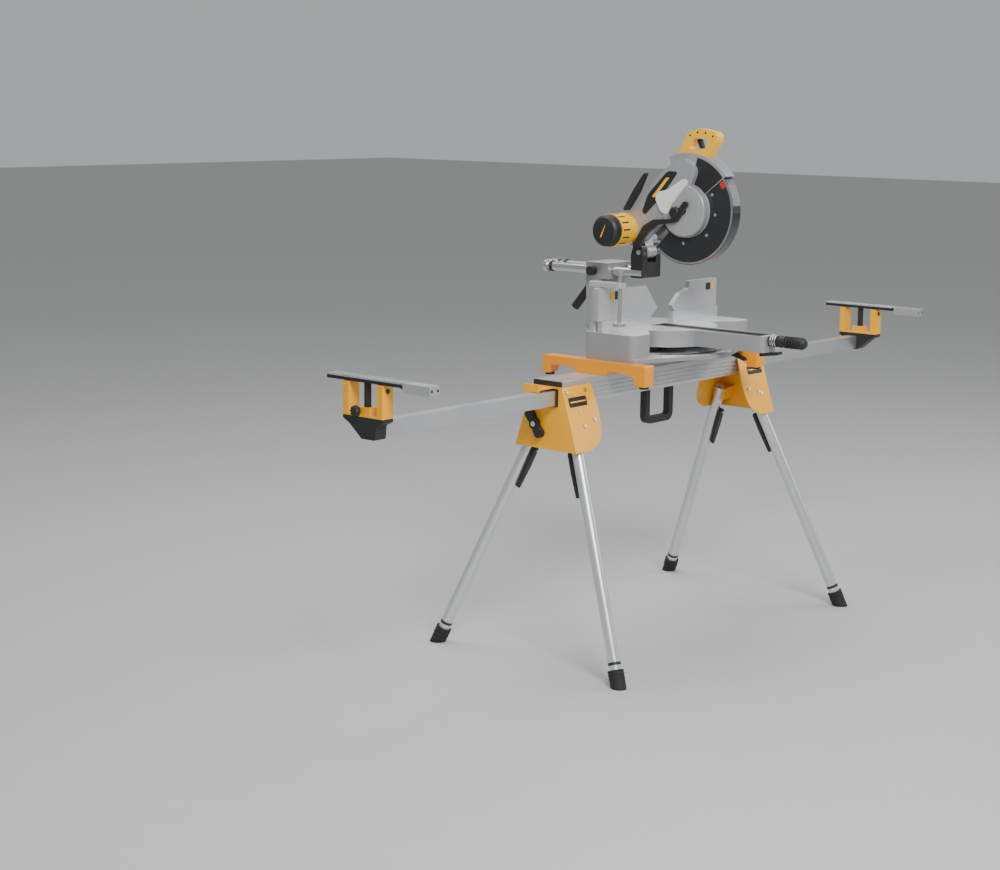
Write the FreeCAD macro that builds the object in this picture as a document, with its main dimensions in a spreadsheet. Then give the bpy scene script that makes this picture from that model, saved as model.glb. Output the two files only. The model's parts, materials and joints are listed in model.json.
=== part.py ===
import FreeCAD, Part
import math
import os
import re
from FreeCAD import Placement, Rotation, Vector

# Sliding compound mitre saw on a folding stand with two telescopic work supports.
# World frame: origin on the floor under the middle of the beam, +X along the beam to the
# operator's right, +Y away from the operator, +Z up. Sizes are in millimetres.
# Pieces of the saw itself are drawn about the saw origin, which is the mitre pivot on the table
# surface, and are then placed at (saw_x, saw_y, table_height).

SIZES = {
    # stand
    "beam_length": 998, "beam_width": 100, "beam_height": 71, "beam_top": 812, "rib_depth": 2,
    "rib_pitch": 12, "channel_gap": 0.6, "cap_thick": 6, "sheet": 3,
    "head_width": 136, "head_drop": 182, "head_top": 797, "head_top_half": 55, "head_low_half": 112,
    "leg_radius": 17, "leg_wall": 2, "foot_x": 588, "foot_y": 338, "foot_radius": 22,
    "foot_length": 46, "leg_run_x": 0.187, "leg_run_y": 0.4065,
    "pivot_left": 715, "pivot_right": 668, "pin_radius": 5, "pin_clearance": 0.05,
    "lever_length": 124, "lever_width": 17, "lever_thick": 11, "lever_pin": 3.5,
    "handle_width": 139, "handle_drop": 112, "handle_bar": 20, "handle_deep": 22, "handle_x": 24,
    # telescopic arms and work supports
    "arm_wide": 36, "arm_tall": 42, "arm_wall": 2.5, "arm_offset": 20, "arm_inner": 358,
    "arm_outer": 1205, "post_deep": 39, "post_thick": 20, "support_span": 140,
    "support_base": 797, "support_top": 884, "bar_length": 262, "bar_thick": 9, "knob_radius": 15,
    "stop_length": 92, "stop_thick": 24,
    # saw mounting brackets
    "bracket_x": 288, "bracket_deep": 44, "bracket_rear": 178, "bracket_front": 196,
    "bracket_top": 850, "bracket_drop": 60, "pad_radius": 14,
    # saw base and table
    "saw_x": 12, "saw_y": -20, "table_height": 930, "base_half": 300, "wing_rear": 60, "wing_front": 122,
    "wing_thick": 14, "table_radius": 168, "table_thick": 60, "pit": 2, "mitre_arm": 385,
    "arm_half": 48, "kerf": 14, "kerf_end": 368, "fence_thick": 16, "fence_tall": 122,
    # slide, bevel and head
    "rail_radius": 14, "rail_spread": 35, "rail_height": 152, "rail_rear": 424, "slide_fit": 0.05,
    "chop_y": 60, "chop_z": 215, "blade_y": -96, "blade_z": 346, "blade_radius": 152.5,
    "blade_thick": 2.6, "arbor_radius": 12.7, "guard_radius": 160, "guard_half": 20, "grip_z": -14,
    "motor_y": 118, "motor_z": 280, "motor_radius": 50, "cap_radius": 46, "motor_face": 145,
}

doc = FreeCAD.newDocument("mitre_saw_on_stand")
sheet = doc.addObject("Spreadsheet::Sheet", "Dim")
for row, (alias, value) in enumerate(SIZES.items(), start=1):
    sheet.set(f"A{row}", alias)
    sheet.set(f"B{row}", str(value))
    sheet.setAlias(f"B{row}", alias)
doc.recompute()


class Sizes:
    """The driving dimensions as attributes, read back from the sheet."""


d = Sizes()
for alias in SIZES:
    setattr(d, alias, float(sheet.get(alias)))

WORD = re.compile(r"[a-z_]+")
NODES = {}
X_AXIS = Vector(1, 0, 0)
Y_AXIS = Vector(0, 1, 0)
Z_AXIS = Vector(0, 0, 1)
SAW = Placement(Vector(d.saw_x, d.saw_y, d.table_height), Rotation())


# ---------------------------------------------------------------- drawing kit
def at(x=0.0, y=0.0, z=0.0, axis=Z_AXIS, angle=0.0):
    return Placement(Vector(x, y, z), Rotation(axis, angle))


def bind(item, **sizes):
    """Binds properties to the sheet: the words of each text that are aliases become its cells."""
    for name, text in sizes.items():
        cells = WORD.sub(lambda m: "Dim." + m[0] if m[0] in SIZES else m[0], str(text))
        item.setExpression(name, cells)
    return item


def box(name, place, length, width, height):
    item = doc.addObject("Part::Box", name)
    item.Placement = place
    return bind(item, Length=length, Width=width, Height=height)


def rod(name, place, radius, height):
    item = doc.addObject("Part::Cylinder", name)
    item.Placement = place
    return bind(item, Radius=radius, Height=height)


def rod_x(name, x, y, z, radius, height):
    return rod(name, at(x, y, z, Y_AXIS, 90), radius, height)


def rod_y(name, x, y, z, radius, height):
    return rod(name, at(x, y, z, X_AXIS, -90), radius, height)


def ring_x(name, x, y, z, outer, inner, height):
    whole = rod_x(name + "_outer", x, y, z, outer, height)
    bore = rod_x(name + "_bore", x - 1, y, z, inner, f"({height}) + 2")
    return cut(name, whole, bore)


def cut(name, base, *tools):
    item = doc.addObject("Part::Cut", name)
    item.Base = base
    item.Tool = tools[0] if len(tools) == 1 else fuse(name + "_tools", *tools)
    return item


def fuse(name, *shapes):
    item = doc.addObject("Part::MultiFuse", name)
    item.Shapes = list(shapes)
    return item


def group(name, *shapes):
    """Separate solids that share one node."""
    item = doc.addObject("Part::Compound", name)
    item.Links = list(shapes)
    return item


def common(name, first, second):
    item = doc.addObject("Part::MultiCommon", name)
    item.Shapes = [first, second]
    return item


def rounded(points):
    """A closed outline through (x, y) or (x, y, radius) corners, with round ones as tangent arcs."""
    corners = []
    for i, here in enumerate(points):
        spot = Vector(here[0], here[1], 0)
        radius = here[2] if len(here) > 2 else 0
        if not radius:
            corners.append((spot, spot, spot))
            continue
        before = Vector(*points[i - 1][:2], 0) - spot
        after = Vector(*points[(i + 1) % len(points)][:2], 0) - spot
        half = before.getAngle(after) / 2
        setback = min(radius / math.tan(half), 0.49 * before.Length, 0.49 * after.Length)
        radius = setback * math.tan(half)
        start = spot + before.normalize() * setback
        end = spot + after.normalize() * setback
        bisector = (before + after).normalize()
        middle = spot + bisector * (radius / math.sin(half) - radius)
        corners.append((start, middle, end))
    edges = []
    for i, (start, middle, end) in enumerate(corners):
        last = corners[i - 1][2]
        if (start - last).Length > 1e-6:
            edges.append(Part.LineSegment(last, start))
        if (end - start).Length > 1e-6:
            edges.append(Part.Arc(start, middle, end))
    return edges


ROLE = {"top": "XY_Plane", "front": "XZ_Plane", "side": "YZ_Plane"}


def sketch_in(body, plane, outlines, circles):
    sketch = body.newObject("Sketcher::SketchObject", body.Name + "_sketch")
    support = [f for f in body.Origin.OriginFeatures if f.Role == ROLE[plane]][0]
    sketch.AttachmentSupport = [(support, "")]
    sketch.MapMode = "FlatFace"
    for outline in outlines:
        for edge in rounded(outline):
            sketch.addGeometry(edge)
    for x, y, radius in circles:
        sketch.addGeometry(Part.Circle(Vector(x, y, 0), Z_AXIS, radius))
    return sketch


def pad(name, plane, outline, length, place=None, windows=(), holes=()):
    """An outline drawn in the top (X, Y), front (X, Z) or side (Y, Z) plane and padded towards
    +Z, +Y or +X. The windows are cut-out outlines and the holes are (x, y, radius)."""
    body = doc.addObject("PartDesign::Body", name)
    sketch = sketch_in(body, plane, [outline, *windows], holes)
    feature = body.newObject("PartDesign::Pad", name + "_pad")
    feature.Profile = sketch
    feature.Reversed = plane == "front"
    bind(feature, Length=length)
    body.Placement = place or at()
    return body


def revolve_x(name, outline, place):
    """An outline in (X, Y), Y being the radius, turned about the X axis."""
    body = doc.addObject("PartDesign::Body", name)
    sketch = sketch_in(body, "top", [outline], [])
    feature = body.newObject("PartDesign::Revolution", name + "_turn")
    feature.Profile = sketch
    feature.ReferenceAxis = (sketch, ["H_Axis"])
    feature.Angle = 360
    body.Placement = place
    return body


def node(name, item, place=None):
    if place is not None:
        item.Placement = place.multiply(item.Placement)
    item.Label = name
    NODES[name] = item


def ring_arc(y, z, outer, inner, start, end):
    """A crescent in (Y, Z) between two radii, from start to end degrees, as outline points."""
    steps = 24
    turn = [math.radians(start + (end - start) * i / steps) for i in range(steps + 1)]
    far = [(y + outer * math.cos(a), z + outer * math.sin(a)) for a in turn]
    near = [(y + inner * math.cos(a), z + inner * math.sin(a)) for a in reversed(turn)]
    return far + near


# ---------------------------------------------------------------- stand
def beam_outline():
    half = d.beam_width / 2
    low = d.beam_top - d.beam_height
    side = [(half, low + 10)]
    height = low + 14
    while height + d.rib_pitch < d.beam_top - 4:
        side += [
            (half, height),
            (half - d.rib_depth, height + 1.5),
            (half - d.rib_depth, height + 3.5),
            (half, height + 5),
        ]
        height += d.rib_pitch
    side += [(half, d.beam_top, 2)]
    mirrored = [(-p[0], *p[1:]) for p in reversed(side)]
    return [(-half + 9, low, 1), (half - 9, low, 1)] + side + mirrored


def rectangle(low_x, low_y, high_x, high_y, radius=0):
    corners = [(low_x, low_y), (high_x, low_y), (high_x, high_y), (low_x, high_y)]
    return [(*corner, radius) for corner in corners]


ARM_LOW = d.beam_top - d.beam_height + d.sheet + d.channel_gap
ARM_HIGH = ARM_LOW + d.arm_tall
SIDES = {"left": -1, "right": 1}


def arm_window(side, gap):
    middle = side * d.arm_offset
    half = d.arm_wide / 2 + gap
    return rectangle(middle - half, ARM_LOW - gap, middle + half, ARM_HIGH + gap)


def make_beam():
    windows = [arm_window(side, d.channel_gap) for side in SIDES.values()]
    half = d.beam_width / 2 - 8
    windows.append(rectangle(-half, ARM_HIGH + 4, half, d.beam_top - 4, 2))
    place = at(-d.beam_length / 2)
    node("beam", pad("beam", "side", beam_outline(), "beam_length", place, windows))


def make_end_caps():
    caps = []
    low = d.beam_top - d.beam_height
    half = d.beam_width / 2
    for label, side in SIDES.items():
        plate_x = side * d.beam_length / 2 - (d.cap_thick if side < 0 else 0)
        outline = rectangle(-half, low, half, d.beam_top - 1, 3)
        window = arm_window(side, d.channel_gap)
        plate = pad("cap_" + label, "side", outline, "cap_thick", at(plate_x), [window])
        collar_x = side * (d.beam_length / 2 + d.cap_thick) - (9 if side < 0 else 0)
        collar_out = arm_window(side, d.channel_gap + 3)
        collar = pad("collar_" + label, "side", collar_out, "9", at(collar_x), [window])
        caps.append(fuse("end_cap_" + label, plate, collar))
    node("beam_end_caps", group("beam_end_caps", *caps))


LEAN = math.degrees(math.atan((d.head_low_half - d.head_top_half) / d.head_drop))
HEAD_SLANT = d.head_drop / math.cos(math.radians(LEAN))
HEAD_FACE = d.beam_length / 2 + d.cap_thick + d.sheet


def head_plate(name, side, front):
    """The leaning face of a leg head: straight outer edge, curved inner edge."""
    outer = HEAD_FACE
    inner = outer - d.head_width
    outline = [
        (outer, 0),
        (inner + 4, 0, 6),
        (inner - 6, -0.45 * HEAD_SLANT, 90),
        (inner + 8, -0.86 * HEAD_SLANT, 70),
        (inner + 62, -HEAD_SLANT, 30),
        (outer, -HEAD_SLANT),
    ]
    outline = [(side * p[0], *p[1:]) for p in outline]
    lean = -LEAN if front else LEAN
    back = 0 if front else -d.sheet
    tilt = at(0, 0, 0, X_AXIS, lean).multiply(at(0, back, 0))
    place = at(0, -d.head_top_half if front else d.head_top_half, d.head_top).multiply(tilt)
    return pad(name, "front", outline, "sheet", place)


def leg_frame(side, front):
    """The placement whose -Z runs down a leg from its pivot and whose X axis is horizontal."""
    height = d.pivot_left if side < 0 else d.pivot_right
    foot = Vector(side * d.foot_x, front * d.foot_y, 0)
    run = Vector(side * d.leg_run_x, front * d.leg_run_y, -1)
    pivot = foot - run * height
    down = Vector(run).normalize()
    fold = Vector(-side, 0, 0)
    pin = down.cross(fold).normalize() * side
    along = pin.cross(down * -1)
    return pivot, down, Placement(pivot, Rotation(along, pin, down * -1, "ZXY"))


def make_heads():
    for label, side in SIDES.items():
        front = head_plate("head_front_" + label, side, True)
        rear = head_plate("head_rear_" + label, side, False)
        low = d.head_top - d.head_drop
        half_top = d.head_top_half
        outline = [
            (-half_top, d.head_top),
            (-d.head_low_half, low),
            (d.head_low_half, low),
            (half_top, d.head_top),
        ]
        face_x = side * HEAD_FACE - (d.sheet if side > 0 else 0)
        window = arm_window(side, d.channel_gap + 4)
        face = pad("head_side_" + label, "side", outline, "sheet", at(face_x), [window])
        guide_x = side * (HEAD_FACE + 36) - 36
        guide = box("guide_" + label, at(guide_x, -30, d.head_top - 4), "72", "60", "sheet + 1")
        lip_x = side * (HEAD_FACE + 70) - 2
        lip = box("guide_lip_" + label, at(lip_x, -30, d.head_top - 9), "4", "60", "22")
        cheeks = []
        for front_sign in (-1, 1):
            _, _, frame = leg_frame(side, front_sign)
            depth = -front_sign * (d.leg_radius + 2) - (d.sheet if front_sign > 0 else 0)
            start = -14 if side > 0 else -60
            offset = at(start, depth, -24)
            name = f"cheek_{label}_{'front' if front_sign < 0 else 'rear'}"
            cheek = box(name, frame.multiply(offset), "74", "sheet", "44")
            cheeks.append(cheek)
        limit_x = 0 if side > 0 else 1 - HEAD_FACE
        limit = box("head_room_" + label, at(limit_x, -200, 500), str(HEAD_FACE - 1), "400", "400")
        whole = fuse("head_whole_" + label, front, rear, face, guide, lip)
        tied = fuse("head_tied_" + label, whole, common("cheeks_in_" + label,
                    fuse("cheeks_" + label, *cheeks), limit))
        holes = []
        for front_sign in (-1, 1):
            pivot, _, frame = leg_frame(side, front_sign)
            hole = rod(f"pin_hole_{label}_{front_sign + 1}", frame.multiply(
                at(0, -60, 0, X_AXIS, -90)), "pin_radius", "120")
            holes.append(hole)
        node("head_" + label, cut("head_" + label, tied, *holes))


def plate_reach(pivot):
    """Length of a leg pin from its leg's axis to just past the leaning face of the head."""
    slope = math.tan(math.radians(LEAN))
    lean = math.atan(d.leg_run_y)
    gap = d.head_top_half + slope * (d.head_top - pivot.z) - abs(pivot.y)
    return gap / (math.cos(lean) + slope * math.sin(lean)) + 2.5


def make_fasteners():
    """Leg pins and the screws in the leaning faces, all fixed to the stand."""
    pieces = []
    for label, side in SIDES.items():
        for front_sign in (-1, 1):
            pivot, _, frame = leg_frame(side, front_sign)
            inner = -front_sign * (d.leg_radius + 2 + d.sheet + 2)
            outer = front_sign * plate_reach(pivot)
            start = min(inner, outer)
            place = frame.multiply(at(0, start, 0, X_AXIS, -90))
            name = f"leg_pin_{label}_{front_sign + 1}"
            pieces.append(rod(name, place, "pin_radius", str(abs(outer - inner))))
            lean = math.radians(LEAN)
            for i, (along, down) in enumerate(((16, 16), (96, 16), (62, 118), (112, 104))):
                x = side * (HEAD_FACE - along)
                gap = d.head_top_half + down * math.sin(lean)
                z = d.head_top - down * math.cos(lean)
                turn = at(x, front_sign * gap, z, X_AXIS, front_sign * LEAN)
                flip = at(0, 0, 0, X_AXIS, -90 * front_sign)
                name = f"screw_{label}_{front_sign + 1}_{i}"
                pieces.append(rod(name, turn.multiply(flip), "6", "4.5"))
    node("stand_fasteners", group("stand_fasteners", *pieces))


def make_carry_handle():
    half = d.handle_width / 2
    top = d.beam_top - d.beam_height
    outer = [(-half, 0), (-half, -d.handle_drop, 26), (half, -d.handle_drop, 26), (half, 0)]
    inner = [
        (half - d.handle_bar, 0),
        (half - d.handle_bar, -d.handle_drop + d.handle_bar, 10),
        (-half + d.handle_bar, -d.handle_drop + d.handle_bar, 10),
        (-half + d.handle_bar, 0),
    ]
    place = at(d.handle_x, -d.handle_deep / 2, top)
    node("carry_handle", pad("carry_handle", "front", outer + inner, "handle_deep", place))


def make_legs():
    for label, side in SIDES.items():
        for word, front in (("front", -1), ("rear", 1)):
            name = f"{word}_{label}"
            pivot, down, frame = leg_frame(side, front)
            length = pivot.z / -down.z
            tube_top = 16
            tube_low = length - 30
            whole = rod("tube_whole_" + name, frame.multiply(at(0, 0, -tube_low)),
                        "leg_radius", str(tube_low + tube_top))
            hollow = rod("tube_hollow_" + name, frame.multiply(at(0, 0, -tube_low)),
                         "leg_radius - leg_wall", str(tube_low + tube_top))
            lug = box("tube_lug_" + name, frame.multiply(at(-9, -d.leg_radius + 1, -16)),
                      "18", "2 * leg_radius - 2", "36")
            bore = rod("tube_bore_" + name, frame.multiply(at(0, -30, 0, X_AXIS, -90)),
                       "pin_radius + pin_clearance", "60")
            tube = cut("tube_" + name, fuse("tube_body_" + name, cut("tube_shell_" + name, whole,
                       hollow), lug), bore)
            stub_start = -front * d.leg_radius
            post_length = d.lever_thick + 8
            drop = lever_drop(side)
            stub = rod("lever_post_" + name, frame.multiply(
                at(0, stub_start, -drop, X_AXIS, 90 * front)), "lever_pin", str(post_length))
            boot = rod("boot_" + name, frame.multiply(at(0, 0, -length - 20)), "foot_radius",
                       "foot_length + 20")
            seat = rod("boot_seat_" + name, frame.multiply(at(0, 0, -tube_low)), "leg_radius",
                       "foot_length")
            floor = box("floor_" + name, at(pivot.x - 600, pivot.y - 600, -100), "1200", "1200",
                        "100")
            foot = cut("foot_" + name, boot, seat, floor)
            node("leg_" + name, group("leg_" + name, tube, stub, foot))
            make_leg_lever(name, side, front, frame, drop)


def lever_drop(side):
    """How far down the leg from its pivot the release lever hangs."""
    height = d.pivot_left if side < 0 else d.pivot_right
    return (height - 608) * math.hypot(1, d.leg_run_y)


def make_leg_lever(name, side, front, frame, drop):
    reach = d.lever_length
    half = d.lever_width / 2
    outline = [
        (-half, 10, 8),
        (half, 10, 8),
        (half + 2, -0.4 * reach, 20),
        (half - 3, -reach, 5),
        (-half + 4, -reach, 5),
        (-half - 1, -0.4 * reach, 20),
    ]
    hole = [(0, 0, d.lever_pin + d.pin_clearance)]
    gap = d.leg_radius + 3
    start = -front * gap - (d.lever_thick if front > 0 else 0)
    place = frame.multiply(at(0, start, -drop))
    node("leg_lever_" + name, pad("leg_lever_" + name, "front", outline, "lever_thick", place,
                                  holes=hole))


# ---------------------------------------------------------------- arms and supports
def make_arms():
    for label, side in SIDES.items():
        middle = side * d.arm_offset
        outline = arm_window(side, 0)
        inner = arm_window(side, -d.arm_wall)
        start = min(side * d.arm_inner, side * d.arm_outer)
        tube = pad("arm_tube_" + label, "side", outline, "arm_outer - arm_inner", at(start),
                   [inner])
        funnel_top = d.support_base
        half = d.support_span / 2
        outline = [
            (-half, funnel_top),
            (-half, funnel_top - 9, 3),
            (-half + 22, funnel_top - 20, 6),
            (middle - 24, ARM_LOW - 4, 4),
            (middle + 24, ARM_LOW - 4, 4),
            (half - 22, funnel_top - 20, 6),
            (half, funnel_top - 9, 3),
            (half, funnel_top),
        ]
        plug_x = side * d.arm_outer - (d.post_deep if side < 0 else 0)
        solid = pad("arm_end_" + label, "side", outline, "post_deep", at(plug_x))
        well = rod("arm_well_" + label, at(plug_x + d.post_deep / 2, 0, 755), "10", "50")
        plug = cut("arm_plug_" + label, solid, well)
        node("arm_" + label, group("arm_" + label, tube, plug))
        make_support(label, side, plug_x, half)


def make_support(label, side, plug_x, half):
    post = d.post_thick
    top = d.support_top
    base = d.support_base
    outline = [
        (-half, base), (half, base), (half, top), (half - post, top),
        (half - post, base + 5), (-half + post, base + 5), (-half + post, top), (-half, top),
    ]
    bracket = pad("support_u_" + label, "side", outline, "post_deep", at(plug_x))
    middle = plug_x + d.post_deep / 2
    clamp = box("support_clamp_" + label, at(plug_x + 4, -22, base + 4), "post_deep - 8", "44", "20")
    shaft = rod("support_slot_" + label, at(middle, 0, base - 1), "9.4", "40")
    screw_x = plug_x - 1 if side < 0 else middle
    screw = rod_x("support_screw_hole_" + label, screw_x, 16, base + 15, "3.6",
                  "post_deep / 2 + 1")
    node("support_bracket_" + label, cut("support_bracket_" + label,
         fuse("support_body_" + label, bracket, clamp), shaft, screw))
    bar_low = top + 1
    low_bar = box("support_channel_" + label, at(plug_x + 3, -d.bar_length / 2, bar_low),
                  "post_deep - 6", "bar_length", "bar_thick")
    high_bar = box("support_plate_" + label,
                   at(plug_x + 1, -d.bar_length / 2, bar_low + d.bar_thick),
                   "post_deep - 2", "bar_length", "4")
    stem = rod("support_stem_" + label, at(middle, 0, 758), "9.35", str(bar_low - 757))
    stop_low = bar_low + d.bar_thick + 4 - d.stop_thick
    stop_y = -d.bar_length / 2 - d.stop_length - 8
    stop = box("stop_block_" + label, at(plug_x + 1, stop_y, stop_low), "post_deep - 2",
               "stop_length", "stop_thick")
    pin_x = side * (d.arm_outer + d.post_deep - 9)
    pin_hole = rod_y("stop_hole_" + label, pin_x, stop_y + d.stop_length - 30, stop_low + 11,
                     "3.05", "40")
    node("stop_plate_" + label, cut("stop_plate_" + label, stop, pin_hole))
    pin = rod_y("stop_pin_" + label, pin_x, stop_y + d.stop_length - 26, stop_low + 11, "3", "40")
    node("support_bar_" + label, fuse("support_bar_" + label, low_bar, high_bar, stem, pin))
    knob = rod_x("knob_disc_" + label, plug_x - 17 if side < 0 else plug_x + d.post_deep + 1,
                 16, base + 15, "knob_radius", "16")
    stud_x = plug_x - 2 if side < 0 else middle + 4
    stud = rod_x("knob_stud_" + label, stud_x, 16, base + 15, "3.5", "post_deep / 2")
    node("support_knob_" + label, fuse("support_knob_" + label, knob, stud))


def make_arm_locks():
    for label, side in SIDES.items():
        face = side * (HEAD_FACE + 1)
        spin = at(face - (16 if side < 0 else 0), 34, 686)
        outline = [
            (-16, 44, 14), (16, 44, 14), (9, 0, 30), (17, -44, 15), (-17, -44, 15), (-9, 0, 30),
        ]
        tilt = Placement(spin.Base, Rotation(X_AXIS, -33))
        lever = pad("arm_lock_bar_" + label, "side", outline, "16", tilt)
        hub = rod_x("arm_lock_hub_" + label, spin.Base.x, 34, 686, "15", "16")
        node("arm_lock_" + label, fuse("arm_lock_" + label, lever, hub))


# ---------------------------------------------------------------- mounting brackets
def make_brackets():
    rails = []
    pads = []
    for label, side in SIDES.items():
        x = side * d.bracket_x - d.bracket_deep / 2
        top = d.bracket_top
        low = d.beam_top + 0.4
        drop = top - d.bracket_drop
        outline = [
            (-d.bracket_front, top, 5), (-d.bracket_front, drop), (-d.bracket_front + 34, drop),
            (-d.bracket_front + 42, low + 6, 8), (-d.beam_width / 2 - 16, low + 14, 6),
            (-d.beam_width / 2 - 6, low), (d.beam_width / 2 + 6, low),
            (d.beam_width / 2 + 16, low + 14, 6), (d.bracket_rear - 32, low + 12, 8),
            (d.bracket_rear - 22, drop + 8), (d.bracket_rear, drop + 8), (d.bracket_rear, top, 5),
        ]
        rail = pad("bracket_" + label, "side", outline, "bracket_deep", at(x))
        pin_x = x + d.bracket_deep - 4 if side < 0 else x - 11
        pin = rod_x("bracket_pin_" + label, pin_x, -66, 832, "3.5", "15")
        rails.append(fuse("bracket_pinned_" + label, rail, pin))
        middle = x + d.bracket_deep / 2
        for y, z in ((-d.bracket_front + 17, drop), (d.bracket_rear - 11, drop + 8)):
            name = f"pad_{label}_{'front' if y < 0 else 'rear'}"
            pads.append(rod(name, at(middle, y, z - 7), "pad_radius", "7"))
        make_bracket_lever(label, side, x)
    node("mount_brackets", group("mount_brackets", *rails))
    node("bracket_pads", group("bracket_pads", *pads))


def make_bracket_lever(label, side, x):
    """Quick-release lever that hangs behind the front block, on the inner face of its bracket."""
    gap = 1
    thick = 9
    start = x + d.bracket_deep + gap if side < 0 else x - gap - thick
    outline = [
        (-56, 842, 8), (-56, 822, 8), (-120, 818, 20), (-160, 806, 5), (-163, 816, 5),
        (-120, 832, 20),
    ]
    hole = [(-66, 832, 3.55)]
    node("bracket_lever_" + label, pad("bracket_lever_" + label, "side", outline, str(thick),
                                       at(start), holes=hole))


# ---------------------------------------------------------------- saw base (saw origin)
def make_base():
    low = d.bracket_top - d.table_height
    pit = d.table_radius + d.pit
    drop = str(-low - d.wing_thick)
    wings = []
    for label, side in SIDES.items():
        edge = side * d.base_half
        rear = d.wing_rear
        front = -d.wing_front
        outline = [
            (side * 70, rear), (edge, rear, 16), (edge, front, 26), (side * 224, front + 2, 10),
            (side * 120, -34),
        ]
        inside = [
            (side * 60, rear - 8), (edge - side * 8, rear - 8, 10), (edge - side * 8, front + 8, 20),
            (side * 222, front + 11, 6), (side * 100, -20),
        ]
        name = "wing_" + label
        plate = pad(name, "top", outline, "wing_thick", at(0, 0, -d.wing_thick))
        skirt = pad(name + "_skirt", "top", outline, drop, at(0, 0, low))
        hollow = pad(name + "_hollow", "top", inside, drop, at(0, 0, low))
        wings.append(fuse(name + "_box", plate, cut(name + "_walls", skirt, hollow)))
    floor = [
        (-d.base_half, d.wing_rear, 16), (d.base_half, d.wing_rear, 16),
        (d.base_half, -d.wing_front, 26), (160, -172, 60), (0, -236, 150), (-160, -172, 60),
        (-d.base_half, -d.wing_front, 26),
    ]
    tray = pad("base_tray", "top", floor, "12", at(0, 0, low))
    well = rod("base_well", at(0, 0, low + 12), str(pit), str(-low))
    sweep_room = box("base_sweep_room", at(-230, -8, low + 12), "460", "238", "52")
    sweep = common("base_sweep", sweep_room, rod("base_disc", at(0, 0, low + 12), "206", "52"))
    shell = cut("base_shell", fuse("base_wings", *wings), well, sweep)
    pivot = rod("base_pivot", at(0, 0, low), "16", str(-low - d.table_thick + 26))
    hole = rod("base_clamp_hole", at(-284, 38, -30), "8", "60")
    node("base_casting", cut("base_casting", fuse("base_body", tray, shell, pivot), hole), SAW)
    bars = []
    for label, side in SIDES.items():
        start = min(side * 56, side * (d.base_half - 6))
        bars.append(box("fence_bar_" + label, at(start, 0, 0), "base_half - 62", "fence_thick",
                        "34"))
    node("fixed_fence", group("fixed_fence", *bars), SAW)
    arc = ring_arc(0, 0, d.table_radius + 34, d.table_radius + 8, 215, 325)
    plate = pad("mitre_scale", "top", arc, "2", at(0, 0, low + 12))
    node("mitre_scale", plate, SAW)


def make_fences():
    """Sliding upper fences, which stand on the fixed bars and clear the tilted head."""
    tall = d.fence_tall
    left = [
        (-316, 34.5), (-48, 34.5), (-24, 52, 3), (-84, tall, 4), (-196, tall, 4), (-202, tall + 8, 3),
        (-316, tall + 8, 6),
    ]
    right = [
        (62, 34.5), (284, 34.5), (284, tall, 4), (142, tall, 4), (134, 98, 6), (92, 88, 6),
        (50, 52, 3),
    ]
    for label, outline in (("left", left), ("right", right)):
        name = "fence_" + label
        node(name, pad(name, "front", outline, "fence_thick", at(0, 0, 0)), SAW)


def make_clamp():
    post = rod("clamp_stem", at(-284, 38, -30), "8", "171")
    foot = rod("clamp_foot", at(-284, 38, 0), "13", "24")
    outline = [(-302, 48, 10), (-272, 58, 12), (-258, -40, 14), (-264, -68, 12), (-294, -60, 12)]
    beam = pad("clamp_beam", "top", outline, "14", at(0, 0, 132))
    hole = rod("clamp_nut_hole", at(-276, -48, 130), "6.05", "36")
    node("clamp_arm", cut("clamp_arm", fuse("clamp_frame", post, foot, beam), hole), SAW)
    stem = rod("clamp_rod", at(-276, -48, 26), "6", "145")
    pad_disc = rod("clamp_pad", at(-276, -48, 21), "20", "9")
    top = rod("clamp_top", at(-276, -48, 167), "12", "14")
    node("clamp_screw", fuse("clamp_screw", stem, pad_disc, top), SAW)


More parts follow.
